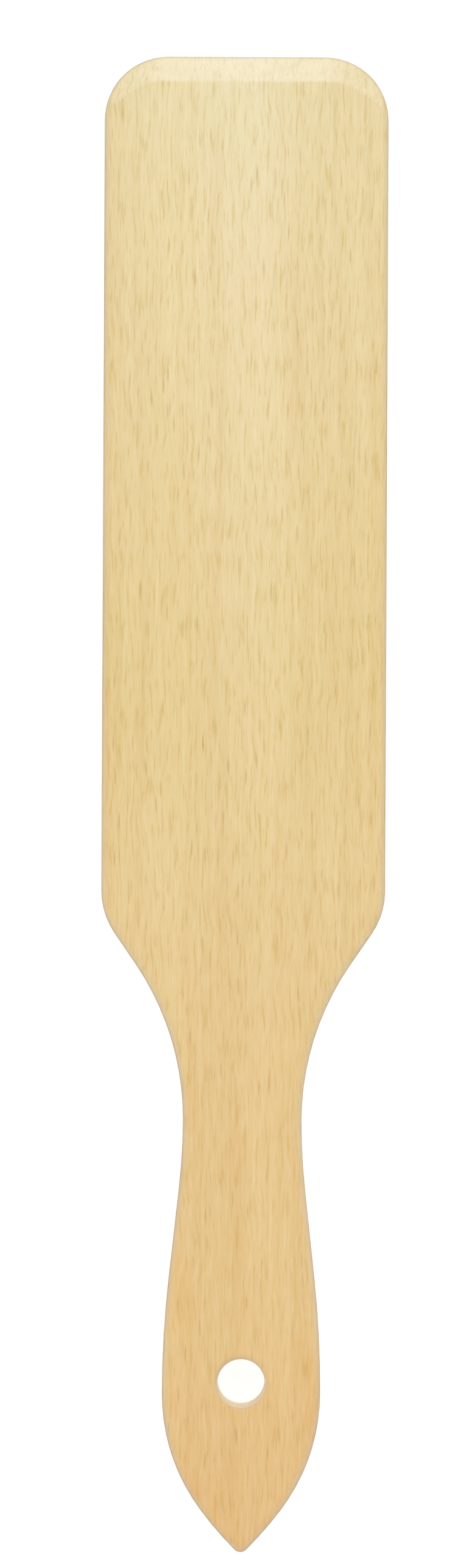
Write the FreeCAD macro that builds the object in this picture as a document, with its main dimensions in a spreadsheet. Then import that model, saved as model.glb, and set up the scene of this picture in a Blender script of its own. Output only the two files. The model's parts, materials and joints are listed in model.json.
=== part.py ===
import FreeCAD
import Part
import math
import os
import Sketcher

# A narrow hand carder: a one-piece wooden paddle with card clothing on one face.
# It lies on the points of its wire teeth, with the plain back of the board facing up (+Z), the
# blade's end towards +Y and the pointed end of the handle towards -Y. The origin is on the resting
# plane, under the middle of the board. Lengths are in millimetres and angles in degrees.

DIMENSIONS = {
    # the wooden paddle; distances along the board are measured from the blade's end
    "board_length": 316.0,
    "board_thickness": 10.0,
    "blade_width": 60.0,
    "blade_corner": 13.5,
    "shoulder_start": 176.3,
    "shoulder_radius": 15.9,
    "shoulder_angle": 34.5,
    "neck_radius": 58.0,
    "neck_width": 25.1,
    "swell_radius": 131.0,
    "grip_radius": 224.0,
    "grip_width": 33.5,
    "grip_widest": 282.4,
    "point_radius": 41.2,
    "nose_radius": 78.0,
    "nose_tip": 1.8,
    "edge_round": 1.5,
    "hole_radius": 5.0,
    "hole_distance": 280.2,
    "hole_rim_round": 0.9,
    # the sanded bevel round the blade's end, which runs out along the sides
    "bevel_width": 5.5,
    "bevel_angle": 22.0,
    "bevel_depth": 3.2,
    "bevel_straight": 18.0,
    "bevel_corner": 9.0,
    "bevel_runout": 55.0,
    "bevel_runout_length": 24.0,
    # the foundation of the card clothing: a canvas backing under a rubber face
    "cloth_inset": 4.0,
    "cloth_length": 166.5,
    "cloth_heel_corner": 3.0,
    "canvas_thickness": 1.5,
    "rubber_thickness": 1.5,
    # the wire teeth: each wire is a small staple through the foundation, with a knee in each leg
    "wire_radius": 0.19,
    "crown_seat_gap": 0.03,
    "tooth_height": 8.0,
    "root_straight": 0.3,
    "knee_level": 4.5,
    "back_lean": 12.0,
    "forward_lean": 24.0,
    "tooth_pitch": 2.9,
    "row_pitch": 4.4,
    "row_stagger": 1.45,
    "row_pairs": 18,
    "wires_per_row": 8,
    "first_row_margin": 6.0,
    # the flat-wire staples that hold the cloth to the board
    "clip_crown": 8.0,
    "clip_width": 0.9,
    "clip_gauge": 0.6,
    "clip_leg": 9.0,
    "clip_margin": 2.0,
    "side_clips": 8,
    "side_clip_pitch": 20.0,
    "side_clip_first": 13.0,
    "end_clips": 3,
    "end_clip_pitch": 14.0,
}

BEVEL_LINE = "dim.board_length / 2 - dim.bevel_width"
BEVEL_REACH = "dim.bevel_depth / tan(dim.bevel_angle * 1deg)"

# levels above the resting plane, and places along the board
FACE_LEVEL = "dim.tooth_height"
CANVAS_LEVEL = FACE_LEVEL + " + dim.rubber_thickness"
BOARD_LEVEL = CANVAS_LEVEL + " + dim.canvas_thickness"
CLOTH_THICKNESS = "dim.rubber_thickness + dim.canvas_thickness"
CLOTH_HALF_WIDTH = "dim.blade_width / 2 - dim.cloth_inset"
CLOTH_END = "dim.board_length / 2 - dim.cloth_inset"
CLOTH_HEEL = CLOTH_END + " - dim.cloth_length"
FIRST_ROW = CLOTH_END + " - dim.first_row_margin"
FIRST_TOOTH = "dim.tooth_pitch * (0.5 - dim.wires_per_row)"
CLIP_SIDE = CLOTH_HALF_WIDTH + " - dim.clip_margin"
FIRST_SIDE_CLIP = CLOTH_END + " - dim.side_clip_first"
CLIP_BLADE_END = CLOTH_END + " - dim.clip_margin"
CLIP_HEEL = CLOTH_HEEL + " + dim.clip_margin"
FIRST_END_CLIP = "-dim.end_clip_pitch * (dim.end_clips - 1) / 2"
POINT_LEVEL = "dim.wire_radius * sin(dim.forward_lean * 1deg)"
CROWN_LEVEL = CANVAS_LEVEL + " - dim.wire_radius"
ON_AXIS = "0 * dim.board_length"

# the ends of a sketched curve, the sketch's own origin point and its upright axis
START, END, CENTRE = 1, 2, 3
ORIGIN = -1
Y_AXIS = -2

# lengths that differ by less than this are the same
CLOSE = 1e-6

doc = FreeCAD.newDocument("HandCarder")
sheet = doc.addObject("Spreadsheet::Sheet", "dim")
for row, (alias, number) in enumerate(DIMENSIONS.items(), start=1):
    sheet.set(f"A{row}", alias)
    sheet.set(f"B{row}", str(number))
    sheet.setAlias(f"B{row}", alias)
doc.recompute()


def amount(expression):
    """The present value of an expression in the sheet's dimensions."""
    return float(sheet.evalExpression(expression))


def new_body(label, level=None):
    """A body of its own, whose zero level stands above the resting plane."""
    body = doc.addObject("PartDesign::Body", label)
    body.Label = label
    body.AllowCompound = True
    if level:
        body.setExpression("Placement.Base.z", level)
    return body


def origin_feature(body, role):
    return next(feature for feature in body.Origin.OriginFeatures if feature.Role == role)


def new_sketch(body, name, plane="XY_Plane", offset=None):
    """A sketch on one of the body's own origin planes, moved along its normal by offset."""
    sketch = body.newObject("Sketcher::SketchObject", name)
    sketch.AttachmentSupport = [(origin_feature(body, plane), "")]
    sketch.MapMode = "FlatFace"
    if offset:
        sketch.setExpression("AttachmentOffset.Base.z", offset)
    return sketch


def add_line(sketch, start, end):
    ends = FreeCAD.Vector(start[0], start[1], 0), FreeCAD.Vector(end[0], end[1], 0)
    return sketch.addGeometry(Part.LineSegment(*ends), False)


def add_chain(sketch, points, closed=False):
    """Straight lines from point to point, joined end to end."""
    if closed:
        points = [*points, points[0]]
    lines = [add_line(sketch, *ends) for ends in zip(points, points[1:])]
    neighbours = list(zip(lines, lines[1:]))
    if closed:
        neighbours.append((lines[-1], lines[0]))
    relate(sketch, "Coincident", *((before, END, after, START) for before, after in neighbours))
    return lines


def add_arc(sketch, centre, radius, first, last):
    """An arc that turns anticlockwise from the first to the last angle, in degrees."""
    middle = FreeCAD.Vector(centre[0], centre[1], 0)
    circle = Part.Circle(middle, FreeCAD.Vector(0, 0, 1), radius)
    curve = Part.ArcOfCircle(circle, math.radians(first), math.radians(last))
    return sketch.addGeometry(curve, False)


def add_circle(sketch, across, along, radius):
    """A circle whose centre and radius are bound to the sheet."""
    middle = FreeCAD.Vector(amount(across), amount(along), 0)
    circle = sketch.addGeometry(Part.Circle(middle, FreeCAD.Vector(0, 0, 1), amount(radius)), False)
    fix(sketch, across, "DistanceX", ORIGIN, START, circle, CENTRE)
    fix(sketch, along, "DistanceY", ORIGIN, START, circle, CENTRE)
    fix(sketch, radius, "Radius", circle)
    return circle


def add_rectangle(sketch, left, right, low, high):
    """A rectangle whose four sides are bound to the sheet."""
    x0, x1, y0, y1 = (amount(text) for text in (left, right, low, high))
    corners = (x0, y0), (x1, y0), (x1, y1), (x0, y1)
    bottom, right_side, top, left_side = add_chain(sketch, corners, closed=True)
    relate(sketch, "Horizontal", (bottom,), (top,))
    relate(sketch, "Vertical", (left_side,), (right_side,))
    fix(sketch, left, "DistanceX", ORIGIN, START, bottom, START)
    fix(sketch, low, "DistanceY", ORIGIN, START, bottom, START)
    fix(sketch, right, "DistanceX", ORIGIN, START, top, START)
    fix(sketch, high, "DistanceY", ORIGIN, START, top, START)


def relate(sketch, kind, *groups):
    """Puts one kind of constraint on each group of curves, or of curves and their ends."""
    for group in groups:
        sketch.addConstraint(Sketcher.Constraint(kind, *group))


def fix(sketch, expression, kind, *where):
    """A dimension of the sketch, bound to the sheet."""
    size = amount(expression)
    if kind == "Angle":
        size = math.radians(size)
    index = sketch.addConstraint(Sketcher.Constraint(kind, *where, size))
    sketch.setExpression(f"Constraints[{index}]", expression)


def pad(body, sketch, length, name, sides="One side"):
    feature = body.newObject("PartDesign::Pad", name)
    feature.Profile = sketch
    feature.SideType = sides
    feature.setExpression("Length", length)
    doc.recompute()
    return feature


def pipe(body, profile, path, name):
    """The profile swept along the path, mitred where the path turns."""
    feature = body.newObject("PartDesign::AdditivePipe", name)
    feature.Profile = profile
    feature.Spine = path
    feature.Transition = "Right corner"
    doc.recompute()
    return feature


def pocket(body, sketch, depth, name, upward=True):
    """Cuts the sketch's shape into the body, and stops if nothing was cut."""
    before = body.Shape.Volume
    feature = body.newObject("PartDesign::Pocket", name)
    feature.Profile = sketch
    feature.setExpression("Length", depth)
    feature.Reversed = upward
    doc.recompute()
    if body.Shape.Volume >= before:
        raise RuntimeError(f"{name} cuts nothing")
    return feature


def fillet(body, edges, radius, name):
    base = body.Tip
    feature = body.newObject("PartDesign::Fillet", name)
    feature.Base = (base, edges)
    feature.setExpression("Radius", radius)
    doc.recompute()
    return feature


def repeat(body, feature, name, axis, pitch, count, towards_minus=False):
    """A linear pattern of one feature along one of the body's axes."""
    pattern = body.newObject("PartDesign::LinearPattern", name)
    pattern.Originals = [feature]
    pattern.Direction = (origin_feature(body, axis), [""])
    pattern.Reversed = towards_minus
    pattern.Mode = "Spacing"
    pattern.setExpression("Offset", pitch)
    pattern.setExpression("Occurrences", count)
    body.Tip = pattern
    doc.recompute()
    return pattern


def repeat_over_cloth(body, feature, name, pitch, count):
    """The feature again at a pitch across the cloth, and again for every second row along it."""
    pattern = repeat(body, feature, name, "X_Axis", pitch, count)
    pattern.Direction2 = (origin_feature(body, "Y_Axis"), [""])
    pattern.Reversed2 = True
    pattern.Mode2 = "Spacing"
    pattern.setExpression("Offset2", "2 * dim.row_pitch")
    pattern.setExpression("Occurrences2", "dim.row_pairs")
    doc.recompute()
    return pattern


def mirror(body, name, *features):
    """The features again on the other side of the body's middle plane."""
    mirrored = body.newObject("PartDesign::Mirrored", name)
    mirrored.Originals = list(features)
    mirrored.MirrorPlane = (origin_feature(body, "YZ_Plane"), [""])
    body.Tip = mirrored
    doc.recompute()
    return mirrored


def edges_where(shape, test):
    return [f"Edge{n}" for n, edge in enumerate(shape.Edges, start=1) if test(edge)]


def draw_half_outline(sketch):
    """The right half of the board's outline, from the blade's end round to the handle's point."""
    top = amount("dim.board_length / 2")
    side = amount("dim.blade_width / 2")
    neck = amount("dim.neck_width / 2")
    grip = amount("dim.grip_width / 2")
    corner_r = amount("dim.blade_corner")
    shoulder_r = amount("dim.shoulder_radius")
    neck_r = amount("dim.neck_radius")
    swell_r = amount("dim.swell_radius")
    grip_r = amount("dim.grip_radius")
    point_r = amount("dim.point_radius")
    nose_r = amount("dim.nose_radius")
    tip_r = amount("dim.nose_tip")
    slope = amount("dim.shoulder_angle")
    shoulder_y = top - amount("dim.shoulder_start")
    widest_y = top - amount("dim.grip_widest")

    # where the curves start before the constraints settle them: the slope between shoulder and neck,
    # and rough angles for the turns of the swell and of the nose
    sine, cosine = math.sin(math.radians(slope)), math.cos(math.radians(slope))
    slope_top = (side - shoulder_r * (1 - cosine), shoulder_y - shoulder_r * sine)
    slope_foot_x = neck + neck_r * (1 - cosine)
    slope_foot_y = slope_top[1] - (slope_top[0] - slope_foot_x) * cosine / sine
    neck_y = slope_foot_y - neck_r * sine
    swell_turn = 7.0
    nose_start = 35.0
    nose_end = 45.0
    swell_sine = math.sin(math.radians(swell_turn))
    swell_rise = 1 - math.cos(math.radians(swell_turn))
    flank_top = (neck + swell_r * swell_rise, neck_y - swell_r * swell_sine)
    flank_foot = (grip - grip_r * swell_rise, widest_y + grip_r * swell_sine)
    nose_gap = nose_r - point_r
    nose_x = grip - point_r - nose_gap * math.cos(math.radians(nose_start))
    nose_y = widest_y + nose_gap * math.sin(math.radians(nose_start))

    blade_end = add_line(sketch, (0, top), (side - corner_r, top))
    corner = add_arc(sketch, (side - corner_r, top - corner_r), corner_r, 0, 90)
    long_side = add_line(sketch, (side, top - corner_r), (side, shoulder_y))
    shoulder = add_arc(sketch, (side - shoulder_r, shoulder_y), shoulder_r, -slope, 0)
    slope_line = add_line(sketch, slope_top, (slope_foot_x, slope_foot_y))
    neck_arc = add_arc(sketch, (neck + neck_r, neck_y), neck_r, 180 - slope, 180)
    swell = add_arc(sketch, (neck + swell_r, neck_y), swell_r, 180, 180 + swell_turn)
    flank = add_line(sketch, flank_top, flank_foot)
    grip_arc = add_arc(sketch, (grip - grip_r, widest_y), grip_r, 0, swell_turn)
    point = add_arc(sketch, (grip - point_r, widest_y), point_r, -nose_start, 0)
    nose = add_arc(sketch, (nose_x, nose_y), nose_r, -nose_end, -nose_start)
    tip = add_arc(sketch, (0, tip_r - top), tip_r, -90, -nose_end)
    middle = add_line(sketch, (0, -top), (0, top))

    relate(
        sketch,
        "Tangent",
        (blade_end, END, corner, END),
        (corner, START, long_side, START),
        (long_side, END, shoulder, END),
        (shoulder, START, slope_line, START),
        (slope_line, END, neck_arc, START),
        (neck_arc, END, swell, START),
        (swell, END, flank, START),
        (flank, END, grip_arc, END),
        (grip_arc, START, point, END),
        (point, START, nose, END),
        (nose, START, tip, END),
    )
    relate(sketch, "Coincident", (tip, START, middle, START), (middle, END, blade_end, START))
    relate(sketch, "PointOnObject", (middle, START, Y_AXIS), (tip, CENTRE, Y_AXIS))
    relate(sketch, "Vertical", (middle,), (long_side,))
    relate(
        sketch,
        "Horizontal",
        (blade_end,),
        (neck_arc, CENTRE, neck_arc, END),
        (grip_arc, CENTRE, grip_arc, START),
    )
    fix(sketch, "dim.board_length / 2", "DistanceY", ORIGIN, START, blade_end, START)
    fix(sketch, "dim.board_length / 2", "DistanceY", middle, START, ORIGIN, START)
    fix(sketch, "dim.blade_width / 2", "DistanceX", ORIGIN, START, long_side, START)
    fix(sketch, "dim.shoulder_start", "DistanceY", long_side, END, blade_end, START)
    fix(sketch, "dim.grip_widest", "DistanceY", grip_arc, START, blade_end, START)
    fix(sketch, "dim.neck_width / 2", "DistanceX", ORIGIN, START, neck_arc, END)
    fix(sketch, "dim.grip_width / 2", "DistanceX", ORIGIN, START, grip_arc, START)
    fix(sketch, "-90 - dim.shoulder_angle", "Angle", slope_line)
    for curve, radius in (
        (corner, "blade_corner"),
        (shoulder, "shoulder_radius"),
        (neck_arc, "neck_radius"),
        (swell, "swell_radius"),
        (grip_arc, "grip_radius"),
        (point, "point_radius"),
        (nose, "nose_radius"),
        (tip, "nose_tip"),
    ):
        fix(sketch, f"dim.{radius}", "Radius", curve)


def draw_wedge(sketch, start):
    """The wedge above the bevel's slope, which starts at a distance from the sketch's upright axis."""
    back = amount("dim.board_thickness")
    near = amount(start)
    far = near + amount(BEVEL_REACH)
    corners = (near, back), (far, back - amount("dim.bevel_depth")), (far, back)
    slope, outside, level = add_chain(sketch, corners, closed=True)
    relate(sketch, "Vertical", (outside,))
    relate(sketch, "Horizontal", (level,))
    fix(sketch, start, "DistanceX", ORIGIN, START, slope, START)
    fix(sketch, "dim.board_thickness", "DistanceY", ORIGIN, START, slope, START)
    fix(sketch, BEVEL_REACH, "DistanceX", slope, START, slope, END)
    fix(sketch, "dim.bevel_depth", "DistanceY", outside, START, outside, END)


def cut_bevel(body):
    """A sanded slope across the blade's end and round each corner, which then runs out at the side."""
    across = new_sketch(body, "bevel_across", "YZ_Plane")
    draw_wedge(across, BEVEL_LINE)
    straight = pocket(body, across, "dim.bevel_straight", "straight_bevel")

    around = new_sketch(body, "bevel_around", "YZ_Plane", "dim.bevel_straight")
    around.setExpression("AttachmentOffset.Base.x", BEVEL_LINE + " - dim.bevel_corner")
    draw_wedge(around, "dim.bevel_corner")
    before = body.Shape.Volume
    corner = body.newObject("PartDesign::Groove", "corner_bevel")
    corner.Profile = around
    corner.ReferenceAxis = (around, ["V_Axis"])
    corner.setExpression("Angle", "90 - dim.bevel_runout")
    corner.Reversed = True
    doc.recompute()
    if body.Shape.Volume >= before:
        raise RuntimeError("the corner's bevel cuts nothing")

    along = new_sketch(body, "bevel_along", "YZ_Plane", "dim.bevel_straight")
    along.setExpression("AttachmentOffset.Base.x", BEVEL_LINE + " - dim.bevel_corner")
    turn = FreeCAD.Rotation(FreeCAD.Vector(0, 1, 0), amount("dim.bevel_runout - 90"))
    along.AttachmentOffset = FreeCAD.Placement(along.AttachmentOffset.Base, turn)
    draw_wedge(along, "dim.bevel_corner")
    runout = pocket(body, along, "dim.bevel_runout_length", "bevel_runout")
    mirror(body, "end_bevel", straight, corner, runout)


def build_paddle():
    """The wooden paddle: rounded edges, end bevel, hanging hole, and slots where the staples go in."""
    body = new_body("paddle", BOARD_LEVEL)
    outline = new_sketch(body, "half_outline")
    draw_half_outline(outline)
    half = pad(body, outline, "dim.board_thickness", "half_board")
    mirror(body, "whole_board", half)

    thickness = amount("dim.board_thickness")

    def on_a_face(edge):
        low, high = edge.BoundBox.ZMin, edge.BoundBox.ZMax
        return high - low < CLOSE and (abs(low) < CLOSE or abs(low - thickness) < CLOSE)

    fillet(body, edges_where(body.Tip.Shape, on_a_face), "dim.edge_round", "rounded_edges")

    cut_bevel(body)

    circle = new_sketch(body, "hanging_hole_circle")
    add_circle(circle, ON_AXIS, "dim.board_length / 2 - dim.hole_distance", "dim.hole_radius")
    pocket(body, circle, "dim.board_thickness", "hanging_hole")
    hole_radius = amount("dim.hole_radius")

    def on_the_hole(edge):
        curve = edge.Curve
        is_circle = isinstance(curve, Part.Circle) and abs(curve.Radius - hole_radius) < CLOSE
        return is_circle and on_a_face(edge)

    fillet(body, edges_where(body.Tip.Shape, on_the_hole), "dim.hole_rim_round", "rounded_rims")
    cut_leg_slots(body, f"dim.clip_leg - ({CLOTH_THICKNESS})")
    return body


def draw_crown_path(sketch):
    """The flat crown of a wire and its two legs, down to where they start to lean."""
    left, root, top = amount(FIRST_TOOTH), amount(FACE_LEVEL), amount(CROWN_LEVEL)
    right = left + amount("dim.tooth_pitch")
    corners = (left, root), (left, top), (right, top), (right, root)
    left_leg, crown, right_leg = add_chain(sketch, corners)
    relate(sketch, "Vertical", (left_leg,), (right_leg,))
    relate(sketch, "Horizontal", (crown,), (left_leg, START, right_leg, END))
    fix(sketch, FIRST_TOOTH, "DistanceX", ORIGIN, START, left_leg, START)
    fix(sketch, FACE_LEVEL, "DistanceY", ORIGIN, START, left_leg, START)
    fix(sketch, "dim.tooth_pitch", "DistanceX", crown, START, crown, END)
    fix(sketch, CROWN_LEVEL, "DistanceY", ORIGIN, START, crown, START)


def draw_tooth_path(sketch):
    """One tooth below the rubber: straight out, leaning back to the knee, then forward to the point."""
    face, knee, point = amount(FACE_LEVEL), amount("dim.knee_level"), amount(POINT_LEVEL)
    root = face - amount("dim.root_straight")
    back, forward = (math.radians(amount(f"dim.{name}_lean")) for name in ("back", "forward"))
    knee_y = (root - knee) * math.tan(back)
    point_y = knee_y - (knee - point) * math.tan(forward)
    corners = (0, face), (0, root), (knee_y, knee), (point_y, point)
    stub, upper, lower = add_chain(sketch, corners)
    relate(sketch, "PointOnObject", (stub, START, Y_AXIS))
    relate(sketch, "Vertical", (stub,))
    fix(sketch, FACE_LEVEL, "DistanceY", ORIGIN, START, stub, START)
    fix(sketch, "dim.root_straight", "DistanceY", stub, END, stub, START)
    fix(sketch, "dim.knee_level", "DistanceY", ORIGIN, START, upper, END)
    fix(sketch, POINT_LEVEL, "DistanceY", ORIGIN, START, lower, END)
    fix(sketch, "dim.back_lean - 90", "Angle", upper)
    fix(sketch, "-90 - dim.forward_lean", "Angle", lower)


def build_first_row(label):
    """A row of wires across the cloth, each with its crown and two bent teeth."""
    body = new_body(label)
    section = new_sketch(body, "wire_section", offset=FACE_LEVEL)
    add_circle(section, FIRST_TOOTH, ON_AXIS, "dim.wire_radius")
    crown_path = new_sketch(body, "crown_path", "XZ_Plane")
    draw_crown_path(crown_path)
    crown = pipe(body, section, crown_path, "first_crown")
    repeat(body, crown, "crowns", "X_Axis", "2 * dim.tooth_pitch", "dim.wires_per_row")
    tooth_path = new_sketch(body, "tooth_path", "YZ_Plane", FIRST_TOOTH)
    draw_tooth_path(tooth_path)
    tooth = pipe(body, section, tooth_path, "first_tooth")
    repeat(body, tooth, "teeth", "X_Axis", "dim.tooth_pitch", "2 * dim.wires_per_row")
    return body


def row_place(number):
    """A row's shift across the cloth, to the other side in every second row, and its place along it."""
    side = "-" if number % 2 else ""
    return f"{side}dim.row_stagger / 2", f"{FIRST_ROW} - {number - 1} * dim.row_pitch"


def build_rows():
    first = build_first_row("tooth_row_01")
    rows = [first]
    for number in range(2, 2 * int(amount("dim.row_pairs")) + 1):
        label = f"tooth_row_{number:02d}"
        copy = doc.addObject("Part::Feature", label)
        copy.Label = label
        copy.Shape = first.Tip.Shape
        rows.append(copy)
    for number, piece in enumerate(rows, start=1):
        shift, along = row_place(number)
        piece.setExpression("Placement.Base.x", shift)
        piece.setExpression("Placement.Base.y", along)
    doc.recompute()
    return rows


def draw_cloth(sketch):
    """The cloth's outline: its corners follow the blade's, and are nearly square at the heel."""
    half, end, heel = amount(CLOTH_HALF_WIDTH), amount(CLOTH_END), amount(CLOTH_HEEL)
    wide, tight = amount("dim.blade_corner - dim.cloth_inset"), amount("dim.cloth_heel_corner")
    top = add_line(sketch, (wide - half, end), (half - wide, end))
    top_right = add_arc(sketch, (half - wide, end - wide), wide, 0, 90)
    right = add_line(sketch, (half, end - wide), (half, heel + tight))
    low_right = add_arc(sketch, (half - tight, heel + tight), tight, 270, 360)
    bottom = add_line(sketch, (half - tight, heel), (tight - half, heel))
    low_left = add_arc(sketch, (tight - half, heel + tight), tight, 180, 270)
    left = add_line(sketch, (-half, heel + tight), (-half, end - wide))
    top_left = add_arc(sketch, (wide - half, end - wide), wide, 90, 180)
    relate(
        sketch,
        "Tangent",
        (top, END, top_right, END),
        (top_right, START, right, START),
        (right, END, low_right, END),
        (low_right, START, bottom, START),
        (bottom, END, low_left, END),
        (low_left, START, left, START),
        (left, END, top_left, END),
        (top_left, START, top, START),
    )
    relate(sketch, "Horizontal", (top,), (bottom,))
    relate(sketch, "Vertical", (left,), (right,))
    relate(sketch, "Equal", (top_left, top_right), (low_left, low_right))
    fix(sketch, CLOTH_HALF_WIDTH, "DistanceX", ORIGIN, START, right, START)
    fix(sketch, CLOTH_HALF_WIDTH, "DistanceX", left, START, ORIGIN, START)
    fix(sketch, CLOTH_END, "DistanceY", ORIGIN, START, top, START)
    fix(sketch, CLOTH_HEEL, "DistanceY", ORIGIN, START, bottom, START)
    fix(sketch, "dim.blade_corner - dim.cloth_inset", "Radius", top_right)
    fix(sketch, "dim.cloth_heel_corner", "Radius", low_right)


def build_ply(label, level, thickness):
    """One layer of the card clothing, with slots for the staples."""
    body = new_body(label, level)
    outline = new_sketch(body, label + "_outline")
    draw_cloth(outline)
    pad(body, outline, thickness, label + "_sheet")
    cut_leg_slots(body, thickness)
    return body


def pierce(body):
    """A hole through the rubber for every tooth."""
    holes = new_sketch(body, "first_holes")
    for shift, along in (row_place(1), row_place(2)):
        add_circle(holes, f"{FIRST_TOOTH} + {shift}", along, "dim.wire_radius")
    first = pocket(body, holes, "dim.rubber_thickness", "holes")
    repeat_over_cloth(body, first, "all_holes", "dim.tooth_pitch", "2 * dim.wires_per_row")


def seat_crowns(body):
    """Sinks the wires' crowns into the back of the rubber, flush with the face the canvas covers."""
    seats = new_sketch(body, "crown_seats", offset="dim.rubber_thickness")
    reach = "(dim.wire_radius + dim.crown_seat_gap)"
    for shift, along in (row_place(1), row_place(2)):
        tooth = f"{FIRST_TOOTH} + {shift}"
        sides = f"{tooth} - {reach}", f"{tooth} + dim.tooth_pitch + {reach}"
        add_rectangle(seats, *sides, f"{along} - {reach}", f"{along} + {reach}")
    first = pocket(body, seats, "2 * dim.wire_radius", "first_seats", upward=False)
    repeat_over_cloth(body, first, "all_seats", "2 * dim.tooth_pitch", "dim.wires_per_row")


def add_leg_slots(sketch, across, along, crosswise):
    """The two slots that one staple's legs fill; a crosswise staple has its crown across the board."""
    middle, line = (across, along) if crosswise else (along, across)
    sides = f"{line} - dim.clip_width / 2", f"{line} + dim.clip_width / 2"
    low, high = f"{middle} - dim.clip_crown / 2", f"{middle} + dim.clip_crown / 2"
    for ends in ((low, f"{low} + dim.clip_gauge"), (f"{high} - dim.clip_gauge", high)):
        if crosswise:
            add_rectangle(sketch, *ends, *sides)
        else:
            add_rectangle(sketch, *sides, *ends)


def cut_leg_slots(body, depth):
    """Slots for every staple's legs, cut up from the body's zero level."""
    beside = new_sketch(body, body.Label + "_side_slots")
    for across in (CLIP_SIDE, f"-({CLIP_SIDE})"):
        add_leg_slots(beside, across, FIRST_SIDE_CLIP, crosswise=False)
    first = pocket(body, beside, depth, body.Label + "_first_side_slots")
    name = body.Label + "_all_side_slots"
    repeat(body, first, name, "Y_Axis", "dim.side_clip_pitch", "dim.side_clips", towards_minus=True)
    ends = new_sketch(body, body.Label + "_end_slots")
    for along in (CLIP_BLADE_END, CLIP_HEEL):
        add_leg_slots(ends, FIRST_END_CLIP, along, crosswise=True)
    first = pocket(body, ends, depth, body.Label + "_first_end_slots")
    repeat(body, first, body.Label + "_all_end_slots", "X_Axis", "dim.end_clip_pitch", "dim.end_clips")


def draw_clip(sketch, centre):
    """A staple seen from the side: its crown lies on the rubber and its legs point up into the board."""
    middle, half = amount(centre), amount("dim.clip_crown / 2")
    gauge = amount("dim.clip_gauge")
    face, tips = amount(FACE_LEVEL), amount(FACE_LEVEL + " + dim.clip_leg")
    low = face - gauge
    corners = (
        (middle - half, low),
        (middle + half, low),
        (middle + half, tips),
        (middle + half - gauge, tips),
        (middle + half - gauge, face),
        (middle - half + gauge, face),
        (middle - half + gauge, tips),
        (middle - half, tips),
    )
    sides = add_chain(sketch, corners, closed=True)
    crown, right, right_tip, right_inside, underside, left_inside, left_tip, left = sides
    relate(sketch, "Horizontal", (crown,), (right_tip,), (underside,), (left_tip,))
    relate(sketch, "Vertical", (right,), (right_inside,), (left_inside,), (left,))
    relate(sketch, "Equal", (right, left), (right_tip, left_tip))
    fix(sketch, f"{centre} - dim.clip_crown / 2", "DistanceX", ORIGIN, START, crown, START)
    fix(sketch, "dim.clip_crown", "DistanceX", crown, START, crown, END)
    fix(sketch, "dim.clip_gauge", "DistanceX", left_tip, END, left_tip, START)
    fix(sketch, "dim.clip_gauge", "DistanceY", crown, START, underside, START)
    fix(sketch, FACE_LEVEL, "DistanceY", ORIGIN, START, underside, START)
    fix(sketch, "dim.clip_leg", "DistanceY", underside, START, right_inside, START)


def build_clips(label, plane, offset, centre, axis, pitch, count):
    """A line of staples along one edge of the cloth."""
    body = new_body(label)
    profile = new_sketch(body, label + "_profile", plane, offset)
    draw_clip(profile, centre)
    clip = pad(body, profile, "dim.clip_width", label + "_first", "Symmetric")
    repeat(body, clip, label + "_line", axis, pitch, count, towards_minus=axis == "Y_Axis")
    return body


def build_all_clips():
    side_line = FIRST_SIDE_CLIP, "Y_Axis", "dim.side_clip_pitch", "dim.side_clips"
    end_line = FIRST_END_CLIP, "X_Axis", "dim.end_clip_pitch", "dim.end_clips"
    return [
        build_clips("edge_staples_right", "YZ_Plane", CLIP_SIDE, *side_line),
        build_clips("edge_staples_left", "YZ_Plane", f"-({CLIP_SIDE})", *side_line),
        build_clips("edge_staples_blade_end", "XZ_Plane", f"-({CLIP_BLADE_END})", *end_line),
        build_clips("edge_staples_heel", "XZ_Plane", f"-({CLIP_HEEL})", *end_line),
    ]


def check(pieces):
    """Stops if any object failed, or if a sub-part's shape is empty or broken."""
    failed = [item.Name for item in doc.Objects if "Invalid" in item.State or "Error" in item.State]
    broken = [piece.Label for piece in pieces if piece.Shape.isNull() or not piece.Shape.isValid()]
    if failed or broken:
        raise RuntimeError(f"failed objects {failed}, broken shapes {broken}")


paddle = build_paddle()
canvas = build_ply("canvas_backing", CANVAS_LEVEL, "dim.canvas_thickness")
rubber = build_ply("rubber_face", FACE_LEVEL, "dim.rubber_thickness")
seat_crowns(rubber)
pierce(rubber)
pieces = [paddle, canvas, rubber, *build_all_clips(), *build_rows()]
check(pieces)
os.makedirs("parts", exist_ok=True)
for piece in pieces:
    shape = piece.Shape
    shape.exportStep(f"parts/{piece.Label}.step")
    print(f"{piece.Label}: {len(shape.Solids)} solids, {len(shape.Faces)} faces, {shape.Volume:.1f} mm3")
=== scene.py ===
"""The looks of a narrow hand carder that lies on its wire teeth, seen from its plain back."""

import json
import math
import random

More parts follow.
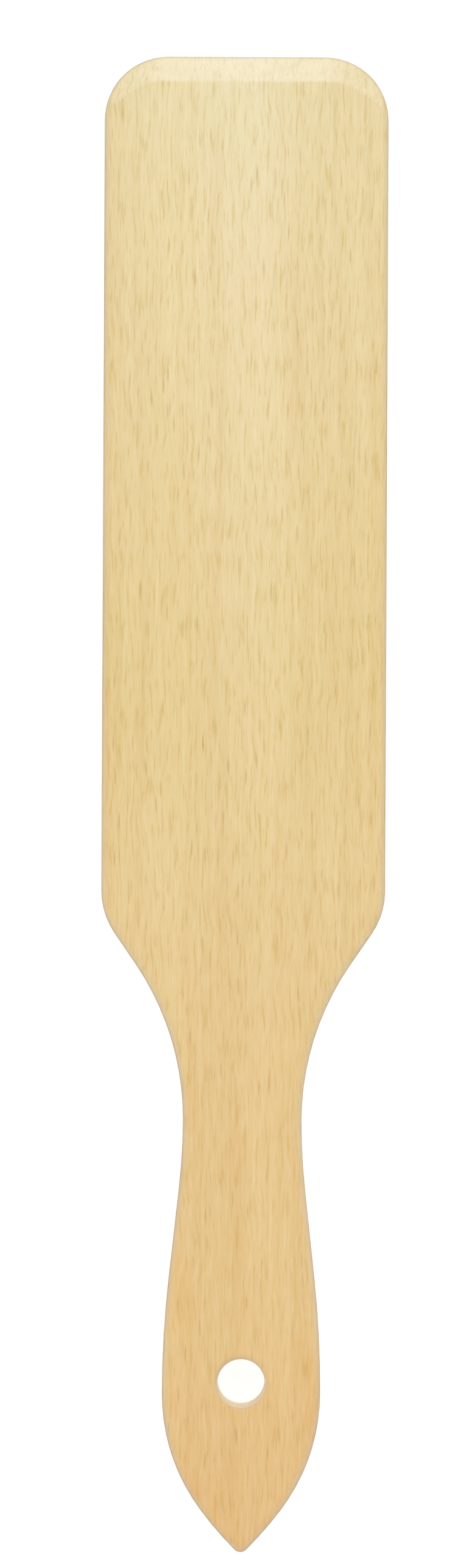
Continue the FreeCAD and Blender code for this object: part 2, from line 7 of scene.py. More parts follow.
import bpy
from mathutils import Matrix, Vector


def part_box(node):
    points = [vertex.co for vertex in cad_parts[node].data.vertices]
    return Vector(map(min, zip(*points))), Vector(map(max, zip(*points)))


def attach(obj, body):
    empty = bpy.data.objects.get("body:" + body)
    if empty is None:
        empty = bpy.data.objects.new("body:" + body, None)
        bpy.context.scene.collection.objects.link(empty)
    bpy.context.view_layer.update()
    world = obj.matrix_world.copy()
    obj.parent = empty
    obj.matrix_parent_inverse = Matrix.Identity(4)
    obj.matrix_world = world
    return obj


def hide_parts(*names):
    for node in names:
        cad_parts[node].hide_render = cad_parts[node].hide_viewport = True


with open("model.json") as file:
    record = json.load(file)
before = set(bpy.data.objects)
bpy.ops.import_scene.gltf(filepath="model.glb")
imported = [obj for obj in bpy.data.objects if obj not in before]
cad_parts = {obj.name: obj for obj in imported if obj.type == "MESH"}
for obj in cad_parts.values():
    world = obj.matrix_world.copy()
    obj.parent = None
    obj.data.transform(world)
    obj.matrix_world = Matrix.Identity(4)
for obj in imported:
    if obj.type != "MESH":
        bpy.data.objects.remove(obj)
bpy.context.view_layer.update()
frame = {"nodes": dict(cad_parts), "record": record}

MM = 0.001
board_low, board_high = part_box("paddle")
rubber_low, rubber_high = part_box("rubber_face")
canvas_low, canvas_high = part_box("canvas_backing")
BACK_LEVEL = board_high.z
BLADE_END = board_high.y
BLADE_SIDE = board_high.x
HANDLE_END = board_low.y
hole = next(mount for mount in frame["record"]["mounts"] if mount["name"] == "hanging_hole")
HOLE_PLACE = hole["pos_m"]
HOLE_RADIUS = hole["dims"]["r_mm"] * MM


# ---------------------------------------------------------------- node building

class Material:
    """A procedural material: its nodes are made by short calls that return output sockets."""

    def __init__(self, name):
        self.material = bpy.data.materials.new(name)
        self.material.use_nodes = True
        self.tree = self.material.node_tree
        self.shader = self.tree.nodes["Principled BSDF"]
        self.place = self.node("ShaderNodeTexCoord").outputs["Object"]

    def node(self, kind, **settings):
        """A new node with its settings."""
        made = self.tree.nodes.new(kind)
        for name, value in settings.items():
            setattr(made, name, value)
        return made

    def plug(self, source, socket):
        """Sets a socket to a number or colour, or links it to another node's output."""
        if isinstance(source, bpy.types.NodeSocket):
            self.tree.links.new(source, socket)
        else:
            socket.default_value = source

    def set(self, **values):
        """Sets the shader's own sockets; a name's underscores stand for spaces."""
        for name, value in values.items():
            self.plug(value, self.shader.inputs[name.replace("_", " ")])

    def math(self, operation, first, second=0.0):
        made = self.node("ShaderNodeMath", operation=operation)
        self.plug(first, made.inputs[0])
        self.plug(second, made.inputs[1])
        return made.outputs[0]

    def times(self, first, second):
        return self.math("MULTIPLY", first, second)

    def step(self, value, start, end, low=0.0, high=1.0):
        """Goes smoothly from low to high while the value goes from start to end."""
        made = self.node("ShaderNodeMapRange", interpolation_type="SMOOTHSTEP")
        self.plug(value, made.inputs["Value"])
        made.inputs["From Min"].default_value = start
        made.inputs["From Max"].default_value = end
        made.inputs["To Min"].default_value = low
        made.inputs["To Max"].default_value = high
        return made.outputs[0]

    def line(self, value, start, end):
        """Goes evenly from 0 to 1 while the value goes from start to end."""
        made = self.node("ShaderNodeMapRange")
        self.plug(value, made.inputs["Value"])
        made.inputs["From Min"].default_value = start
        made.inputs["From Max"].default_value = end
        return made.outputs[0]

    def axis(self, vector, name):
        """One of a vector's three numbers: X, Y or Z."""
        made = self.node("ShaderNodeSeparateXYZ")
        self.plug(vector, made.inputs[0])
        return made.outputs[name]

    def combined(self, x, y, z):
        made = self.node("ShaderNodeCombineXYZ")
        for socket, value in zip(made.inputs, (x, y, z)):
            self.plug(value, socket)
        return made.outputs[0]

    def stretched(self, vector, sizes):
        """The place in units of the given sizes, in metres, along X, Y and Z."""
        made = self.node("ShaderNodeVectorMath", operation="MULTIPLY")
        self.plug(vector, made.inputs[0])
        made.inputs[1].default_value = [1 / size for size in sizes]
        return made.outputs[0]

    def moved(self, vector, shift):
        """The place moved by another vector's amount."""
        made = self.node("ShaderNodeVectorMath", operation="ADD")
        self.plug(vector, made.inputs[0])
        self.plug(shift, made.inputs[1])
        return made.outputs[0]

    def noise(self, vector, detail=2.0, roughness=0.5):
        """Noise between 0 and 1, with features about one unit of the vector apart."""
        made = self.node("ShaderNodeTexNoise")
        self.plug(vector, made.inputs["Vector"])
        made.inputs["Scale"].default_value = 1.0
        made.inputs["Detail"].default_value = detail
        made.inputs["Roughness"].default_value = roughness
        return made.outputs["Fac"]

    def cells(self, vector):
        """Scattered cells about one unit of the vector apart, each with a colour and a distance."""
        made = self.node("ShaderNodeTexVoronoi")
        self.plug(vector, made.inputs["Vector"])
        made.inputs["Scale"].default_value = 1.0
        return made

    def blend(self, amount, first, second, kind="MIX"):
        """The first colour turned towards the second by the amount."""
        made = self.node("ShaderNodeMix", data_type="RGBA", blend_type=kind)
        self.plug(amount, made.inputs["Factor"])
        self.plug(first, made.inputs["A"])
        self.plug(second, made.inputs["B"])
        return made.outputs["Result"]

    def ramp(self, value, stops):
        """A colour ramp through (place, colour) stops."""
        made = self.node("ShaderNodeValToRGB")
        self.plug(value, made.inputs[0])
        elements = made.color_ramp.elements
        while len(elements) < len(stops):
            elements.new(0.5)
        for element, (place, colour) in zip(elements, stops):
            element.position = place
            element.color = colour
        return made.outputs[0]

    def bump(self, height, distance, strength, normal=None):
        """The surface's normal where a height of 1 stands for the distance, in metres."""
        made = self.node("ShaderNodeBump")
        if normal:
            self.plug(normal, made.inputs["Normal"])
        made.inputs["Strength"].default_value = strength
        made.inputs["Distance"].default_value = distance
        self.plug(height, made.inputs["Height"])
        return made.outputs[0]


def srgb(red, green, blue):
    """A colour given in display levels, as the linear colour that a shader takes."""
    levels = []
    for level in (red, green, blue):
        share = level / 255
        levels.append(share / 12.92 if share <= 0.04045 else ((share + 0.055) / 1.055) ** 2.4)
    return (*levels, 1.0)


def dress(node, material):
    """Gives a CAD node one material."""
    slots = frame["nodes"][node].data.materials
    slots.clear()
    slots.append(material)


# ---------------------------------------------------------------- wood

# the oiled wood, from the blade's end to the handle's point
TONES = (
    (0.00, srgb(226, 213, 173)),
    (0.15, srgb(226, 208, 164)),
    (0.40, srgb(224, 202, 150)),
    (0.70, srgb(224, 194, 138)),
    (0.85, srgb(225, 193, 136)),
    (1.00, srgb(224, 185, 127)),
)

# tints, which the wood's colour is multiplied by
LATE_WOOD = srgb(246, 242, 234)
STREAK = srgb(249, 239, 228)
FIBRE = srgb(243, 237, 217)
FLECK = srgb(228, 215, 191)
# painted shade: the board's steep sides are darkened by this tint
PAINTED_SIDE_SHADE = srgb(238, 220, 186)
# painted shade: a grey line along the steep part of the rounded edges
PAINTED_ARRIS_SHADE = srgb(224, 214, 204)
OUTER = srgb(253, 251, 244)
# painted shade: a darker, warmer band along the blade's long sides
PAINTED_RIM_SHADE = srgb(252, 242, 226)
HANDLED = srgb(254, 243, 228)

# colours, which the wood's colour is turned towards
PALE = srgb(243, 228, 196)
# painted sheen: the rounded edges are turned towards this pale grey
PAINTED_EDGE_SHEEN = srgb(228, 212, 187)
SANDED = srgb(250, 244, 226)
# partly fresh drilled wood, partly a painted highlight on the hole's wall
DRILLED_WOOD_AND_HIGHLIGHT = srgb(249, 238, 212)

# the sizes of the wood's marks, across the board, along it and through it
WANDER_SIZE = (40 * MM, 160 * MM, 40 * MM)
STREAK_SIZE = (3.2 * MM, 110 * MM, 3.2 * MM)
WAVE_SIZE = (11 * MM, 17 * MM, 11 * MM)
THREAD_SIZE = (0.85 * MM, 48 * MM, 1.2 * MM)
DASH_SIZE = (0.60 * MM, 6.8 * MM, 0.95 * MM)
FIBRE_SIZE = (0.26 * MM, 4.5 * MM, 0.5 * MM)
RAY_SIZE = (1.1 * MM, 11 * MM, 1.6 * MM)
PATCH_SIZE = (9 * MM, 22 * MM, 9 * MM)

PITH_DEPTH = 90 * MM
RING_SIZE = (1.1 * MM, 900 * MM, 1.0)
RING_WANDER = 9 * MM
FIBRE_WANDER = 1.7 * MM
ARRIS_RADIUS = 1.3 * MM
ARRIS_SAMPLES = 4
GRAIN_RELIEF = 0.05 * MM


class Beech(Material):
    """Oiled beech. Each add method puts one kind of mark on the wood's colour."""

    def __init__(self):
        super().__init__("oiled_beech")
        self.across, self.along, self.height = (self.axis(self.place, name) for name in "XYZ")
        self.from_middle = self.math("ABSOLUTE", self.across)
        softened = self.node("ShaderNodeBevel", samples=ARRIS_SAMPLES)
        softened.inputs["Radius"].default_value = ARRIS_RADIUS
        self.normal = softened.outputs["Normal"]
        self.facing = self.math("ABSOLUTE", self.axis(self.normal, "Z"))
        self.colour = self.ramp(self.line(self.along, BLADE_END, HANDLE_END), TONES)
        self.add_growth_rings()
        self.add_fibres()
        self.add_flecks()
        self.add_edges()
        self.add_handling()
        self.add_drilled_wood_and_highlight()
        self.add_surface()

    def tint(self, amount, colour):
        """Multiplies the wood's colour by a tint, as far as the amount goes."""
        self.colour = self.blend(amount, self.colour, colour, "MULTIPLY")

    def cover(self, amount, colour):
        """Turns the wood's colour towards another one, as far as the amount goes."""
        self.colour = self.blend(amount, self.colour, colour)

    def grain(self, sizes, roughness):
        """Noise that follows the wavy fibres."""
        return self.noise(self.stretched(self.bent, sizes), 2.0, roughness)

    def add_growth_rings(self):
        """Faint rings round a pith far below the board, and long streaks with the grain."""
        wander = self.noise(self.stretched(self.place, WANDER_SIZE), 1.0)
        sideways = self.math("ADD", self.across, self.times(wander, RING_WANDER))
        depth = self.math("ADD", self.height, PITH_DEPTH)
        squares = self.math("ADD", self.times(sideways, sideways), self.times(depth, depth))
        ring = self.combined(self.math("SQRT", squares), self.along, 0.0)
        bands = self.noise(self.stretched(ring, RING_SIZE), 3.0, 0.65)
        streaks = self.noise(self.stretched(self.place, STREAK_SIZE), 2.0)
        self.tint(self.step(bands, 0.35, 0.72, 0.0, 0.6), LATE_WOOD)
        self.tint(self.step(streaks, 0.50, 0.75, 0.0, 0.45), STREAK)

    def add_fibres(self):
        """Slightly wavy fibres: long faint threads, clearer dashes and fine short ones.

        They show a little less on the handle.
        """
        clear = self.step(self.along, -20 * MM, -75 * MM, 1.0, 0.78)
        wave = self.noise(self.stretched(self.place, WAVE_SIZE), 1.0)
        self.bent = self.moved(self.place, self.combined(self.times(wave, FIBRE_WANDER), 0.0, 0.0))
        threads = self.grain(THREAD_SIZE, 0.6)
        self.dashes = self.grain(DASH_SIZE, 0.55)
        self.fibres = self.grain(FIBRE_SIZE, 0.6)
        self.tint(self.step(threads, 0.50, 0.70, 0.0, 0.30), FIBRE)
        self.cover(self.times(self.step(threads, 0.46, 0.28, 0.0, 0.12), clear), PALE)
        self.tint(self.times(self.step(self.dashes, 0.52, 0.70, 0.0, 0.90), clear), FIBRE)
        self.cover(self.step(self.dashes, 0.46, 0.28, 0.0, 0.12), PALE)
        self.tint(self.times(self.step(self.fibres, 0.51, 0.70, 0.0, 0.60), clear), FIBRE)

    def add_flecks(self):
        """The ray cells of beech: thin dark dashes with the grain, in some of the cells only."""
        cell = self.cells(self.stretched(self.bent, RAY_SIZE))
        kept = self.step(self.axis(cell.outputs["Color"], "X"), 0.28, 0.85)
        self.fleck = self.times(self.step(cell.outputs["Distance"], 0.24, 0.08), kept)
        self.tint(self.times(self.fleck, 0.6), FLECK)

    def sanded_bevel(self):
        """1 on the bevel at the blade's end, and 0 elsewhere."""
        sloping = self.step(self.facing, 0.975, 0.935)
        near_end = self.step(self.along, BLADE_END - 16 * MM, BLADE_END - 9 * MM)
        above = self.step(self.height, BACK_LEVEL - 4 * MM, BACK_LEVEL - 2.6 * MM)
        return self.times(self.times(sloping, near_end), above)

    def add_edges(self):
        """Painted shade on the steep sides, a painted pale sheen and a painted grey line on the rounded
        edges, painted shade along the blade's long sides, and a pale sanded bevel.
        """
        sanded = self.sanded_bevel()
        # painted shade on the steep sides
        self.tint(self.step(self.facing, 0.5, 0.1, 0.0, 0.3), PAINTED_SIDE_SHADE)
        # painted sheen on the rounded edges, but not on the bevel
        sheen_on_rounds = self.times(
            self.step(self.facing, 0.98, 0.80), self.step(self.facing, 0.1, 0.35, 0.0, 0.40)
        )
        self.cover(self.times(sheen_on_rounds, self.math("SUBTRACT", 1.0, sanded)), PAINTED_EDGE_SHEEN)
        # painted shade: a grey line where the rounded edges turn steep
        arris_shade = self.times(
            self.step(self.facing, 0.70, 0.45), self.step(self.facing, 0.02, 0.20, 0.0, 0.35)
        )
        self.tint(arris_shade, PAINTED_ARRIS_SHADE)
        blade = self.step(self.along, -20 * MM, 20 * MM)
        self.tint(self.times(self.step(self.from_middle, 4 * MM, 14 * MM), blade), OUTER)
        # painted shade along the blade's long sides
        rim = self.step(self.from_middle, BLADE_SIDE - 5 * MM, BLADE_SIDE - 0.5 * MM, 0.0, 0.30)
        self.tint(rim, PAINTED_RIM_SHADE)
        self.cover(self.times(sanded, self.step(self.from_middle, 16 * MM, 25 * MM, 0.32, 0.12)), SANDED)

    def add_handling(self):
        """Warmer patches where hands have oiled the handle."""
        patches = self.noise(self.stretched(self.place, PATCH_SIZE), 2.0)
        on_handle = self.step(self.along, 0.0, HANDLE_END, 0.0, 0.7)
        self.tint(self.times(self.step(patches, 0.48, 0.70), on_handle), HANDLED)

    def add_drilled_wood_and_highlight(self):
        """Fresh pale wood inside the hanging hole, partly a painted highlight on its wall."""
        from_hole = self.node("ShaderNodeVectorMath", operation="DISTANCE")
        self.plug(self.combined(self.across, self.along, 0.0), from_hole.inputs[0])
        from_hole.inputs[1].default_value = (HOLE_PLACE[0], HOLE_PLACE[1], 0.0)
        outside, inside = HOLE_RADIUS + 0.35 * MM, HOLE_RADIUS + 0.05 * MM
        # partly a painted highlight on the hole's wall
        self.cover(self.step(from_hole.outputs["Value"], outside, inside, 0.0, 0.7), DRILLED_WOOD_AND_HIGHLIGHT)

    def add_surface(self):
        """The grain's slight relief and gloss, with the wood's sharp edges softened in shading."""
        raised = self.times(self.math("ADD", self.dashes, self.fibres), 0.4)
        relief = self.math("SUBTRACT", raised, self.fleck)
        self.set(Base_Color=self.colour, Specular_IOR_Level=0.30)
        self.set(Roughness=self.step(self.dashes, 0.3, 0.75, 0.50, 0.62))
        self.set(Normal=self.bump(relief, GRAIN_RELIEF, 0.6, self.normal))


# ---------------------------------------------------------------- steel, canvas and rubber

def card_steel():
    """Bright drawn wire, a little duller in patches."""
    m = Material("drawn_card_wire")
    mottle = m.noise(m.stretched(m.place, (0.6 * MM, 0.6 * MM, 2.2 * MM)), 3.0)
    draw_marks = m.noise(m.stretched(m.place, (0.05 * MM, 0.05 * MM, 1.5 * MM)))
    m.set(Base_Color=m.blend(m.step(mottle, 0.35, 0.7), srgb(206, 208, 210), srgb(150, 150, 148)))
    m.set(Metallic=1.0, Roughness=m.step(mottle, 0.3, 0.7, 0.24, 0.42))
    m.set(Normal=m.bump(draw_marks, 0.01 * MM, 0.4))
    return m.material


def staple_steel():
    """Galvanised flat staple wire with the crystals of its zinc coat."""
    m = Material("galvanised_staple_wire")
    crystals = m.axis(m.cells(m.stretched(m.place, (0.5 * MM,) * 3)).outputs["Color"], "X")
    scuffs = m.noise(m.stretched(m.place, (0.25 * MM, 2.0 * MM, 0.25 * MM)), 3.0)
    m.set(Base_Color=m.blend(crystals, srgb(172, 174, 176), srgb(205, 205, 202)), Metallic=1.0)
    m.set(Roughness=m.step(scuffs, 0.3, 0.75, 0.34, 0.55), Normal=m.bump(scuffs, 0.02 * MM, 0.5))
    return m.material


def weave_height(m, pitch):
    """A plain weave: warp and weft threads that cross over and under each other."""
    turn = math.pi / pitch
    warp = m.math("SINE", m.times(m.axis(m.place, "X"), turn))
    weft = m.math("SINE", m.times(m.axis(m.place, "Y"), turn))
    ribs = m.math("MAXIMUM", m.math("ABSOLUTE", warp), m.math("ABSOLUTE", weft))
    return m.math("ADD", m.times(m.times(warp, weft), 0.5), ribs)


def canvas_cloth():
    """Unbleached canvas in a plain weave, with painted shade between its threads, slubs and specks of
    seed husk.
    """
    m = Material("unbleached_canvas")
    weave = weave_height(m, THREAD_PITCH)
    slubs = m.noise(m.stretched(m.place, (1.5 * MM, 9 * MM, 0.4 * MM)), 3.0)
    base = m.blend(m.step(slubs, 0.3, 0.7), srgb(214, 203, 176), srgb(190, 176, 146))
    # painted shade: the low places between the threads are darkened in colour
    base = m.blend(m.step(weave, 1.1, 0.5, 0.0, 0.6), base, srgb(150, 136, 108))
    specks = m.cells(m.stretched(m.place, (2.6 * MM,) * 3)).outputs["Distance"]
    base = m.blend(m.step(specks, 0.10, 0.05, 0.0, 0.7), base, srgb(112, 88, 60))
    m.set(Base_Color=base, Roughness=0.92, Specular_IOR_Level=0.2)
    m.set(Sheen_Weight=0.25, Sheen_Roughness=0.5)
    m.set(Normal=m.bump(weave, 0.12 * MM, 0.8))
    return m.material


def rubber():
    """Matt grey rubber with the print of the cloth it was cured on, and lanolin stains."""
    m = Material("rubber_facing")
    print_of_cloth = weave_height(m, 0.4 * MM)
    stains = m.noise(m.stretched(m.place, (14 * MM, 22 * MM, 14 * MM)), 4.0, 0.6)
    grit = m.noise(m.stretched(m.place, (0.5 * MM,) * 3), 3.0, 0.7)
    base = m.blend(m.step(stains, 0.35, 0.7), srgb(126, 120, 112), srgb(104, 97, 88))
    base = m.blend(m.step(grit, 0.55, 0.8, 0.0, 0.35), base, srgb(160, 154, 144))
    m.set(Base_Color=base, Roughness=m.step(stains, 0.3, 0.7, 0.78, 0.62), Specular_IOR_Level=0.35)
    m.set(Normal=m.bump(m.math("ADD", print_of_cloth, grit), 0.05 * MM, 0.6))
    return m.material


# ---------------------------------------------------------------- card clothing

END_CORNER = 9.5 * MM
HEEL_CORNER = 3.0 * MM
CORNER_STEP = 10  # degrees
THREAD_PITCH = 0.55 * MM
RUBBER_STEP = 1.0 * MM
RIM_SHARES = (0.0, 0.15, 0.4, 0.65, 0.85, 1.0)  # levels of a sheet's rim, from its face to its back

LOOSE_THREADS = 46
THREAD_RADIUS = 0.08 * MM
THREAD_SEED = 7

STAPLES_ALONG = 8
STAPLES_ACROSS = 3
STAPLE_CROWN = 8.0 * MM

FACE_LEVEL = rubber_low.z
TEETH_IN_ROW = 16
WIRE_RADIUS = 0.19 * MM
LIP_TURNS = 12
# a lip's (radius, height) from its foot to the wire
LIP_PROFILE = (
    (0.62 * MM, -0.01 * MM),
    (0.36 * MM, 0.05 * MM),
    (0.24 * MM, 0.13 * MM),
    (0.17 * MM, 0.10 * MM),
)


def add_piece(name, vertices, faces, material, smooth=True):
    """Makes a visible piece from a mesh, and lets it ride on the one body."""
    mesh = bpy.data.meshes.new(name)
    mesh.from_pydata(vertices, [], faces)
    mesh.materials.append(material)
    if smooth:
        mesh.shade_smooth()
    piece = bpy.data.objects.new(name, mesh)
    bpy.context.collection.objects.link(piece)
    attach(piece, "root")
    return piece


def spread(start, end, step):
    """Evenly spaced places from start to end, about a step apart."""
    count = max(1, round((end - start) / step))
    return [start + (end - start) * n / count for n in range(count + 1)]


def cut_places(low, high, step):
    """Places along the cloth, closer together round its corners."""
    quarter = [math.radians(turn) for turn in range(0, 90, CORNER_STEP)]
    heel = [low.y + HEEL_CORNER * (1 - math.cos(turn)) for turn in quarter]
    end = [high.y - END_CORNER * (1 - math.cos(turn)) for turn in reversed(quarter)]
    return heel + spread(low.y + HEEL_CORNER, high.y - END_CORNER, step) + end


def half_width(low, high, along):
    """Half the cloth's width at a place along it."""
    half = high.x
    for radius, distance in ((END_CORNER, high.y - along), (HEEL_CORNER, along - low.y)):
        if distance < radius:
            half -= radius - math.sqrt(max(radius**2 - (radius - distance) ** 2, 0.0))
    return half


def slab(low, high, step, edge, relief):
    """A sheet with rounded corners: its face below, its rim in small steps, and its back above.

    edge(share, place) pulls the rim inwards by an amount; relief(x, y) lowers the face.
    """
    middle = (low.y + high.y) / 2
    columns = round(2 * high.x / step)
    rows = cut_places(low, high, step)

    def point(column, along, share):
        """The place of a vertex; the share goes from 0 at the face to 1 at the back."""
        side = 2 * column / columns - 1
        half = half_width(low, high, along)
        pull = edge(share, along if abs(side) == 1 else side * half)
        x = side * (half - pull)
        y = along + (middle - along) / abs(middle - low.y) * pull
        z = low.z + share * (high.z - low.z)
        return (x, y, z - relief(x, y) if share == 0 else z)

    vertices, faces, index = [], [], {}

    def at(column, row, share):
        """The number of the vertex at a column, row and level, made when it is first asked for."""
        key = (column, row, share)
        if key not in index:
            index[key] = len(vertices)
            vertices.append(point(column, rows[row], share))
        return index[key]

    last = len(rows) - 1
    for column in range(columns):
        for row in range(last):
            square = (column, row), (column + 1, row), (column + 1, row + 1), (column, row + 1)
            faces.append([at(*corner, 0.0) for corner in reversed(square)])
            faces.append([at(*corner, 1.0) for corner in square])
    around = [(column, 0) for column in range(columns)]
    around += [(columns, row) for row in range(last)]
    around += [(column, last) for column in range(columns, 0, -1)]
    around += [(0, row) for row in range(last, 0, -1)]
    for here, there in zip(around, around[1:] + around[:1]):
        for below, above in zip(RIM_SHARES, RIM_SHARES[1:]):
            faces.append([at(*here, below), at(*there, below), at(*there, above), at(*here, above)])
    return vertices, faces


def add_canvas(material):
    """The canvas backing, with the ends of its threads along the cut edge."""

    def cut_edge(share, place):
        """The rim is uneven by a thread's end at each pitch of the weave."""
        threads = math.sin(2 * math.pi * place / THREAD_PITCH) * math.cos(3 * math.pi * share)
        return 0.10 * MM + 0.07 * MM * threads

    vertices, faces = slab(canvas_low, canvas_high, THREAD_PITCH / 2, cut_edge, lambda x, y: 0.0)
    canvas = add_piece("canvas_cloth", vertices, faces, material, smooth=False)
    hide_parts("canvas_backing")
    threads = add_loose_threads(material)


def add_loose_threads(material):
    """Short threads that have worked loose along the canvas's cut edge."""
    curve = bpy.data.curves.new("canvas_loose_threads", "CURVE")
    curve.dimensions = "3D"
    curve.bevel_depth = THREAD_RADIUS
    curve.bevel_resolution = 2
    curve.resolution_u = 4
    dice = random.Random(THREAD_SEED)
    for _ in range(LOOSE_THREADS):
        start, out = thread_root(dice)
        length = dice.uniform(0.9, 2.6) * MM
        along_edge = Vector((out.y, out.x, 0)) * dice.uniform(-1.1, 1.1) * length
        droop = Vector((0, 0, -dice.uniform(0.15, 0.75) * length))
        spline = curve.splines.new("BEZIER")
        spline.bezier_points.add(2)
        half_out = start + out * length * 0.55 + along_edge * 0.3
        points = start, half_out, start + out * length * 0.8 + along_edge
        for knot, place, sag in zip(spline.bezier_points, points, (0.0, 0.25, 1.0)):
            knot.co = place + droop * sag
            knot.handle_left_type = knot.handle_right_type = "AUTO"
            knot.radius = 1.0 - 0.5 * sag
    curve.materials.append(material)
    threads = bpy.data.objects.new("canvas_loose_threads", curve)
    bpy.context.collection.objects.link(threads)
    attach(threads, "root")
    return threads


def thread_root(dice):
    """Where a loose thread leaves the canvas's edge, and the way out: mostly on the long sides."""
    level = (canvas_low.z + canvas_high.z) / 2
    side = dice.choice((-1, 1))
    if dice.random() < 0.78:
        along = dice.uniform(canvas_low.y + HEEL_CORNER, canvas_high.y - END_CORNER)
        return Vector((side * (canvas_high.x - 0.2 * MM), along, level)), Vector((side, 0, 0))
    reach = canvas_high.x - END_CORNER
    end = canvas_high.y - 0.2 * MM if side > 0 else canvas_low.y + 0.2 * MM
    return Vector((dice.uniform(-reach, reach), end, level)), Vector((0, side, 0))


def staple_places():
    """The middles of the staples' crowns, evenly spaced in the boxes of their nodes."""
    places = []
    for name in frame["nodes"]:
        if not name.startswith("edge_staples"):
            continue
        low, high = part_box(name)
        lengthwise = high.y - low.y > high.x - low.x
        count = STAPLES_ALONG if lengthwise else STAPLES_ACROSS
        start, end = (low.y, high.y) if lengthwise else (low.x, high.x)
        pitch = (end - start - STAPLE_CROWN) / (count - 1)
        for place in spread(start + STAPLE_CROWN / 2, end - STAPLE_CROWN / 2, pitch):
            middle = (low.x + high.x) / 2 if lengthwise else (low.y + high.y) / 2
            places.append((middle, place) if lengthwise else (place, middle))
    return places


def add_rubber(material):
    """The rubber face: pinched under the staples, and raised in a small lip round every wire."""
    staples = staple_places()

    def pressed(x, y):
        """The rubber swells a little between the staples, and dips where one holds it down."""
        nearest = min(math.hypot(x - a, y - b) for a, b in staples)
        rim = min(rubber_high.x - abs(x), rubber_high.y - y, y - rubber_low.y)
        swell = math.exp(-((rim / (5 * MM)) ** 2)) * (1 - math.exp(-((nearest / (5.5 * MM)) ** 2)))
        ripple = math.sin(x / (3.1 * MM)) * math.sin(y / (4.3 * MM) + x / (9 * MM))
        return 0.16 * MM * swell + 0.02 * MM * ripple

    def soft_edge(share, place):
        """The rim is rounded at the face, and a little uneven."""
        rounding = 0.22 * MM * (1 - min(share / 0.4, 1.0)) ** 2
        return rounding + 0.03 * MM * math.sin(place / (2.3 * MM))

    vertices, faces = slab(rubber_low, rubber_high, RUBBER_STEP, soft_edge, pressed)
    for name in sorted(frame["nodes"]):
        if name.startswith("tooth_row"):
            add_lips(name, vertices, faces, pressed)
    rubber_piece = add_piece("rubber_facing", vertices, faces, material)
    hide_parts("rubber_face")


def add_lips(row_name, vertices, faces, relief):
    """The raised lip that each wire of a row pushes out of the rubber."""
    low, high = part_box(row_name)
    in_rubber = FACE_LEVEL + 0.2 * MM
    roots = [v.co.y for v in frame["nodes"][row_name].data.vertices if v.co.z > in_rubber]
    along = (min(roots) + max(roots)) / 2
    for tooth in range(TEETH_IN_ROW):
        share = tooth / (TEETH_IN_ROW - 1)
        across = low.x + WIRE_RADIUS + share * (high.x - low.x - 2 * WIRE_RADIUS)
        first = len(vertices)
        for radius, height in LIP_PROFILE:
            for turn in range(LIP_TURNS):
                angle = 2 * math.pi * turn / LIP_TURNS
                x, y = across + radius * math.cos(angle), along + radius * math.sin(angle)
                vertices.append((x, y, FACE_LEVEL - relief(x, y) - height))
        for ring in range(first, first + (len(LIP_PROFILE) - 1) * LIP_TURNS, LIP_TURNS):
            for turn in range(LIP_TURNS):
                here, there = ring + turn, ring + (turn + 1) % LIP_TURNS
                faces.append([here, here + LIP_TURNS, there + LIP_TURNS, there])


# ---------------------------------------------------------------- camera, floor and light

VIEW_HEIGHT = 330.97 * MM
VIEW_MIDDLE = (-1.42 * MM, 4.30 * MM)
VIEW_TURN = math.radians(0.26)
CAMERA_RISE = 1.30
SENSOR = 36.0
FLOOR_HALF = 8.0


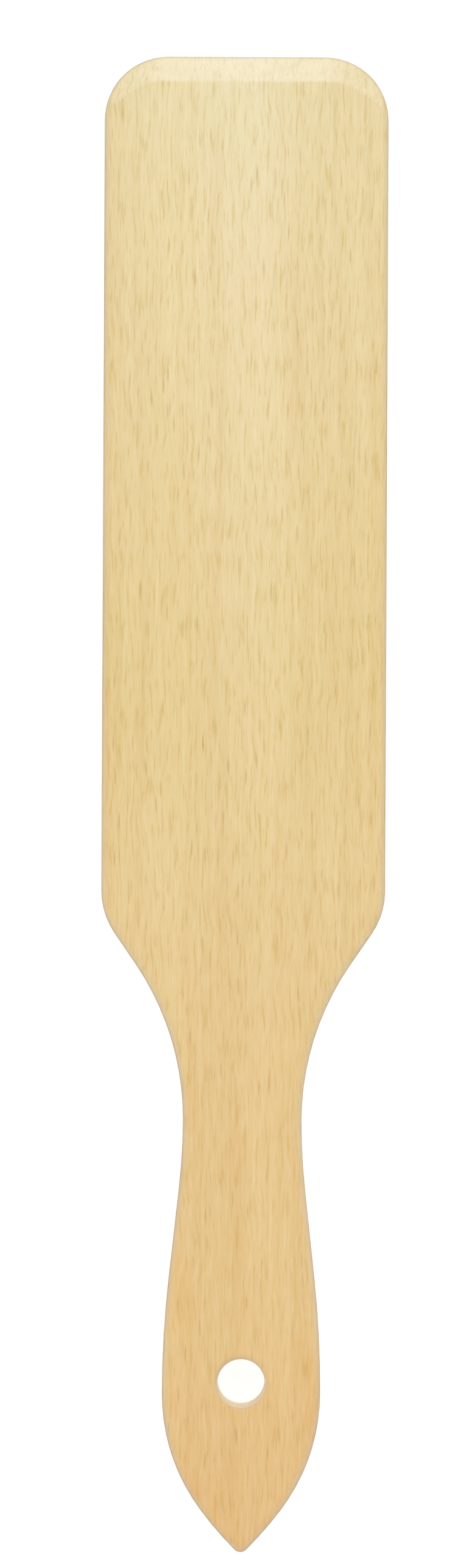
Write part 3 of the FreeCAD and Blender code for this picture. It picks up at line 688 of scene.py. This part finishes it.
def add_camera():
    """Looks straight down on the plain back, turned a quarter of a degree as in the photograph."""
    data = bpy.data.cameras.new("camera")
    data.sensor_fit = "VERTICAL"
    data.sensor_height = SENSOR
    data.lens = SENSOR * CAMERA_RISE / VIEW_HEIGHT
    data.clip_start = 0.01
    data.clip_end = 20.0
    camera = bpy.data.objects.new("camera", data)
    camera.location = (*VIEW_MIDDLE, BACK_LEVEL + CAMERA_RISE)
    camera.rotation_euler = (0, 0, VIEW_TURN)
    bpy.context.collection.objects.link(camera)
    bpy.context.scene.camera = camera


def add_floor():
    """A plain pale floor that stays bright under the object, as a lit studio table does."""
    m = Material("pale_floor")
    m.set(Base_Color=(0.18, 0.18, 0.18, 1.0), Roughness=0.9, Specular_IOR_Level=0.0)
    m.set(Emission_Color=(1.0, 1.0, 1.0, 1.0), Emission_Strength=0.90)
    corners = [(FLOOR_HALF * x, FLOOR_HALF * y, 0) for x, y in ((-1, -1), (1, -1), (1, 1), (-1, 1))]
    mesh = bpy.data.meshes.new("floor")
    mesh.from_pydata(corners, [], [(0, 1, 2, 3)])
    mesh.materials.append(m.material)
    floor = bpy.data.objects.new("floor", mesh)
    bpy.context.collection.objects.link(floor)


def add_light(name, place, size, power):
    """A square lamp that points at the origin."""
    data = bpy.data.lights.new(name, "AREA")
    data.shape = "SQUARE"
    data.size = size
    data.energy = power
    light = bpy.data.objects.new(name, data)
    light.location = place
    light.rotation_euler = (-Vector(place)).to_track_quat("-Z", "Y").to_euler()
    bpy.context.collection.objects.link(light)


def add_lights():
    """A large soft box beyond the blade's end, a weaker one behind the handle, and an even sky."""
    add_light("soft_box", (0.30, 0.85, 1.75), 1.0, 20.0)
    add_light("fill", (-0.6, -0.8, 1.5), 1.2, 7.0)
    world = bpy.data.worlds.new("studio")
    world.use_nodes = True
    background = world.node_tree.nodes["Background"]
    background.inputs["Color"].default_value = (1.0, 1.0, 1.0, 1.0)
    background.inputs["Strength"].default_value = 0.50
    bpy.context.scene.world = world
    bpy.context.scene.view_settings.view_transform = "Standard"


add_camera()
add_floor()
add_lights()
wood, wire, staple = Beech().material, card_steel(), staple_steel()
cloth, face = canvas_cloth(), rubber()
for name in frame["nodes"]:
    if name.startswith("tooth_row"):
        dress(name, wire)
    elif name.startswith("edge_staples"):
        dress(name, staple)
dress("paddle", wood)
dress("canvas_backing", cloth)
dress("rubber_face", face)
add_canvas(cloth)
add_rubber(face)
